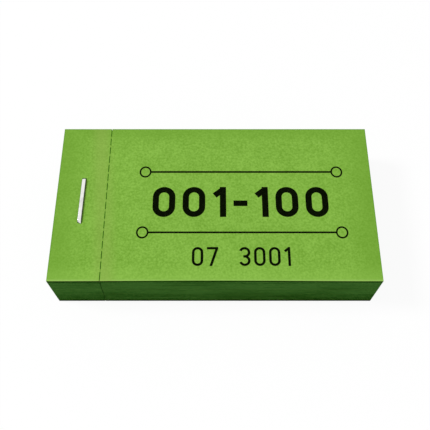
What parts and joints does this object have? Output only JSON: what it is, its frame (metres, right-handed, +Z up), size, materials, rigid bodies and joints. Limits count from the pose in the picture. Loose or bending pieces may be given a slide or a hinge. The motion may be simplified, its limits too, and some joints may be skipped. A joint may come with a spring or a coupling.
{
  "type": "ticket book",
  "caption": "Block of small paper tickets, each joined to its stub by a perforated fold line, held through the stubs by one flat-wire staple.",
  "frame": {"origin": "middle of the underside of the book", "axes": "+X along the book from the stapled stub to the free end of the tickets, +Y across the book to its back edge, +Z up out of the printed side"},
  "size_m": [0.08, 0.043, 0.015],
  "materials": {
    "staple_wire": "bright drawn flat wire",
    "stub_paper": "uncoated dyed paper",
    "ticket_paper": "uncoated dyed paper"
  },
  "bodies": {
    "stub_block": {"staple": "staple_wire", "stub_01": "stub_paper", "stub_02": "stub_paper", "stub_03": "stub_paper", "stub_04": "stub_paper", "stub_05": "stub_paper", "stub_06": "stub_paper", "stub_07": "stub_paper", "stub_08": "stub_paper", "stub_09": "stub_paper", "stub_10": "stub_paper", "stub_packet_01": "stub_paper", "stub_packet_02": "stub_paper", "stub_packet_03": "stub_paper", "stub_packet_04": "stub_paper", "stub_packet_05": "stub_paper", "stub_packet_06": "stub_paper", "stub_packet_07": "stub_paper", "stub_packet_08": "stub_paper", "stub_packet_09": "stub_paper", "stub_packet_10": "stub_paper", "stub_packet_11": "stub_paper", "stub_packet_12": "stub_paper", "stub_packet_13": "stub_paper", "stub_packet_14": "stub_paper", "stub_packet_15": "stub_paper", "stub_packet_16": "stub_paper", "stub_packet_17": "stub_paper", "stub_packet_18": "stub_paper"},
    "ticket_01": {"ticket_01": "ticket_paper"},
    "ticket_02": {"ticket_02": "ticket_paper"},
    "ticket_03": {"ticket_03": "ticket_paper"},
    "ticket_04": {"ticket_04": "ticket_paper"},
    "ticket_05": {"ticket_05": "ticket_paper"},
    "ticket_06": {"ticket_06": "ticket_paper"},
    "ticket_07": {"ticket_07": "ticket_paper"},
    "ticket_08": {"ticket_08": "ticket_paper"},
    "ticket_09": {"ticket_09": "ticket_paper"},
    "ticket_10": {"ticket_10": "ticket_paper"},
    "ticket_packet_01": {"ticket_packet_01": "ticket_paper"},
    "ticket_packet_02": {"ticket_packet_02": "ticket_paper"},
    "ticket_packet_03": {"ticket_packet_03": "ticket_paper"},
    "ticket_packet_04": {"ticket_packet_04": "ticket_paper"},
    "ticket_packet_05": {"ticket_packet_05": "ticket_paper"},
    "ticket_packet_06": {"ticket_packet_06": "ticket_paper"},
    "ticket_packet_07": {"ticket_packet_07": "ticket_paper"},
    "ticket_packet_08": {"ticket_packet_08": "ticket_paper"},
    "ticket_packet_09": {"ticket_packet_09": "ticket_paper"},
    "ticket_packet_10": {"ticket_packet_10": "ticket_paper"},
    "ticket_packet_11": {"ticket_packet_11": "ticket_paper"},
    "ticket_packet_12": {"ticket_packet_12": "ticket_paper"},
    "ticket_packet_13": {"ticket_packet_13": "ticket_paper"},
    "ticket_packet_14": {"ticket_packet_14": "ticket_paper"},
    "ticket_packet_15": {"ticket_packet_15": "ticket_paper"},
    "ticket_packet_16": {"ticket_packet_16": "ticket_paper"},
    "ticket_packet_17": {"ticket_packet_17": "ticket_paper"},
    "ticket_packet_18": {"ticket_packet_18": "ticket_paper"}
  },
  "joints": [
    {"name": "top_ticket_lift", "type": "hinge", "parent": "ticket_02", "child": "ticket_01", "pos_m": [-0.02732, 0, 0.01459], "axis": [0, -1, 0], "range_deg": [0, 120]},
    {"name": "block_fan", "type": "hinge", "parent": "stub_block", "child": "ticket_02", "pos_m": [-0.02732, 0, 0.01459], "axis": [0, -1, 0], "range_deg": [0, 50]},
    {"name": "ticket_03_fan", "type": "hinge", "parent": "stub_block", "child": "ticket_03", "pos_m": [-0.02732, 0, 0.01459], "axis": [0, -1, 0], "range_deg": [0, 48.15]},
    {"name": "ticket_04_fan", "type": "hinge", "parent": "stub_block", "child": "ticket_04", "pos_m": [-0.02732, 0, 0.01459], "axis": [0, -1, 0], "range_deg": [0, 46.3]},
    {"name": "ticket_05_fan", "type": "hinge", "parent": "stub_block", "child": "ticket_05", "pos_m": [-0.02732, 0, 0.01459], "axis": [0, -1, 0], "range_deg": [0, 44.45]},
    {"name": "ticket_06_fan", "type": "hinge", "parent": "stub_block", "child": "ticket_06", "pos_m": [-0.02732, 0, 0.01459], "axis": [0, -1, 0], "range_deg": [0, 42.59]},
    {"name": "ticket_07_fan", "type": "hinge", "parent": "stub_block", "child": "ticket_07", "pos_m": [-0.02732, 0, 0.01459], "axis": [0, -1, 0], "range_deg": [0, 40.74]},
    {"name": "ticket_08_fan", "type": "hinge", "parent": "stub_block", "child": "ticket_08", "pos_m": [-0.02732, 0, 0.01459], "axis": [0, -1, 0], "range_deg": [0, 38.89]},
    {"name": "ticket_09_fan", "type": "hinge", "parent": "stub_block", "child": "ticket_09", "pos_m": [-0.02732, 0, 0.01459], "axis": [0, -1, 0], "range_deg": [0, 37.03]},
    {"name": "ticket_10_fan", "type": "hinge", "parent": "stub_block", "child": "ticket_10", "pos_m": [-0.02732, 0, 0.01459], "axis": [0, -1, 0], "range_deg": [0, 35.19]},
    {"name": "ticket_packet_01_fan", "type": "hinge", "parent": "stub_block", "child": "ticket_packet_01", "pos_m": [-0.02732, 0, 0.01459], "axis": [0, -1, 0], "range_deg": [0, 33.34]},
    {"name": "ticket_packet_02_fan", "type": "hinge", "parent": "stub_block", "child": "ticket_packet_02", "pos_m": [-0.02732, 0, 0.01459], "axis": [0, -1, 0], "range_deg": [0, 31.48]},
    {"name": "ticket_packet_03_fan", "type": "hinge", "parent": "stub_block", "child": "ticket_packet_03", "pos_m": [-0.02732, 0, 0.01459], "axis": [0, -1, 0], "range_deg": [0, 29.63]},
    {"name": "ticket_packet_04_fan", "type": "hinge", "parent": "stub_block", "child": "ticket_packet_04", "pos_m": [-0.02732, 0, 0.01459], "axis": [0, -1, 0], "range_deg": [0, 27.78]},
    {"name": "ticket_packet_05_fan", "type": "hinge", "parent": "stub_block", "child": "ticket_packet_05", "pos_m": [-0.02732, 0, 0.01459], "axis": [0, -1, 0], "range_deg": [0, 25.93]},
    {"name": "ticket_packet_06_fan", "type": "hinge", "parent": "stub_block", "child": "ticket_packet_06", "pos_m": [-0.02732, 0, 0.01459], "axis": [0, -1, 0], "range_deg": [0, 24.07]},
    {"name": "ticket_packet_07_fan", "type": "hinge", "parent": "stub_block", "child": "ticket_packet_07", "pos_m": [-0.02732, 0, 0.01459], "axis": [0, -1, 0], "range_deg": [0, 22.22]},
    {"name": "ticket_packet_08_fan", "type": "hinge", "parent": "stub_block", "child": "ticket_packet_08", "pos_m": [-0.02732, 0, 0.01459], "axis": [0, -1, 0], "range_deg": [0, 20.37]},
    {"name": "ticket_packet_09_fan", "type": "hinge", "parent": "stub_block", "child": "ticket_packet_09", "pos_m": [-0.02732, 0, 0.01459], "axis": [0, -1, 0], "range_deg": [0, 18.52]},
    {"name": "ticket_packet_10_fan", "type": "hinge", "parent": "stub_block", "child": "ticket_packet_10", "pos_m": [-0.02732, 0, 0.01459], "axis": [0, -1, 0], "range_deg": [0, 16.66]},
    {"name": "ticket_packet_11_fan", "type": "hinge", "parent": "stub_block", "child": "ticket_packet_11", "pos_m": [-0.02732, 0, 0.01459], "axis": [0, -1, 0], "range_deg": [0, 14.81]},
    {"name": "ticket_packet_12_fan", "type": "hinge", "parent": "stub_block", "child": "ticket_packet_12", "pos_m": [-0.02732, 0, 0.01459], "axis": [0, -1, 0], "range_deg": [0, 12.96]},
    {"name": "ticket_packet_13_fan", "type": "hinge", "parent": "stub_block", "child": "ticket_packet_13", "pos_m": [-0.02732, 0, 0.01459], "axis": [0, -1, 0], "range_deg": [0, 11.11]},
    {"name": "ticket_packet_14_fan", "type": "hinge", "parent": "stub_block", "child": "ticket_packet_14", "pos_m": [-0.02732, 0, 0.01459], "axis": [0, -1, 0], "range_deg": [0, 9.26]},
    {"name": "ticket_packet_15_fan", "type": "hinge", "parent": "stub_block", "child": "ticket_packet_15", "pos_m": [-0.02732, 0, 0.01459], "axis": [0, -1, 0], "range_deg": [0, 7.41]},
    {"name": "ticket_packet_16_fan", "type": "hinge", "parent": "stub_block", "child": "ticket_packet_16", "pos_m": [-0.02732, 0, 0.01459], "axis": [0, -1, 0], "range_deg": [0, 5.55]},
    {"name": "ticket_packet_17_fan", "type": "hinge", "parent": "stub_block", "child": "ticket_packet_17", "pos_m": [-0.02732, 0, 0.01459], "axis": [0, -1, 0], "range_deg": [0, 3.71]},
    {"name": "ticket_packet_18_fan", "type": "hinge", "parent": "stub_block", "child": "ticket_packet_18", "pos_m": [-0.02732, 0, 0.01459], "axis": [0, -1, 0], "range_deg": [0, 1.85]}
  ],
  "couplings": [
    {"joint": "ticket_03_fan", "follows": "block_fan", "ratio": 0.963},
    {"joint": "ticket_04_fan", "follows": "block_fan", "ratio": 0.9259},
    {"joint": "ticket_05_fan", "follows": "block_fan", "ratio": 0.8889},
    {"joint": "ticket_06_fan", "follows": "block_fan", "ratio": 0.8519},
    {"joint": "ticket_07_fan", "follows": "block_fan", "ratio": 0.8148},
    {"joint": "ticket_08_fan", "follows": "block_fan", "ratio": 0.7778},
    {"joint": "ticket_09_fan", "follows": "block_fan", "ratio": 0.7407},
    {"joint": "ticket_10_fan", "follows": "block_fan", "ratio": 0.7037},
    {"joint": "ticket_packet_01_fan", "follows": "block_fan", "ratio": 0.6667},
    {"joint": "ticket_packet_02_fan", "follows": "block_fan", "ratio": 0.6296},
    {"joint": "ticket_packet_03_fan", "follows": "block_fan", "ratio": 0.5926},
    {"joint": "ticket_packet_04_fan", "follows": "block_fan", "ratio": 0.5556},
    {"joint": "ticket_packet_05_fan", "follows": "block_fan", "ratio": 0.5185},
    {"joint": "ticket_packet_06_fan", "follows": "block_fan", "ratio": 0.4815},
    {"joint": "ticket_packet_07_fan", "follows": "block_fan", "ratio": 0.4444},
    {"joint": "ticket_packet_08_fan", "follows": "block_fan", "ratio": 0.4074},
    {"joint": "ticket_packet_09_fan", "follows": "block_fan", "ratio": 0.3704},
    {"joint": "ticket_packet_10_fan", "follows": "block_fan", "ratio": 0.3333},
    {"joint": "ticket_packet_11_fan", "follows": "block_fan", "ratio": 0.2963},
    {"joint": "ticket_packet_12_fan", "follows": "block_fan", "ratio": 0.2593},
    {"joint": "ticket_packet_13_fan", "follows": "block_fan", "ratio": 0.2222},
    {"joint": "ticket_packet_14_fan", "follows": "block_fan", "ratio": 0.1852},
    {"joint": "ticket_packet_15_fan", "follows": "block_fan", "ratio": 0.1481},
    {"joint": "ticket_packet_16_fan", "follows": "block_fan", "ratio": 0.1111},
    {"joint": "ticket_packet_17_fan", "follows": "block_fan", "ratio": 0.0741},
    {"joint": "ticket_packet_18_fan", "follows": "block_fan", "ratio": 0.037}
  ]
}
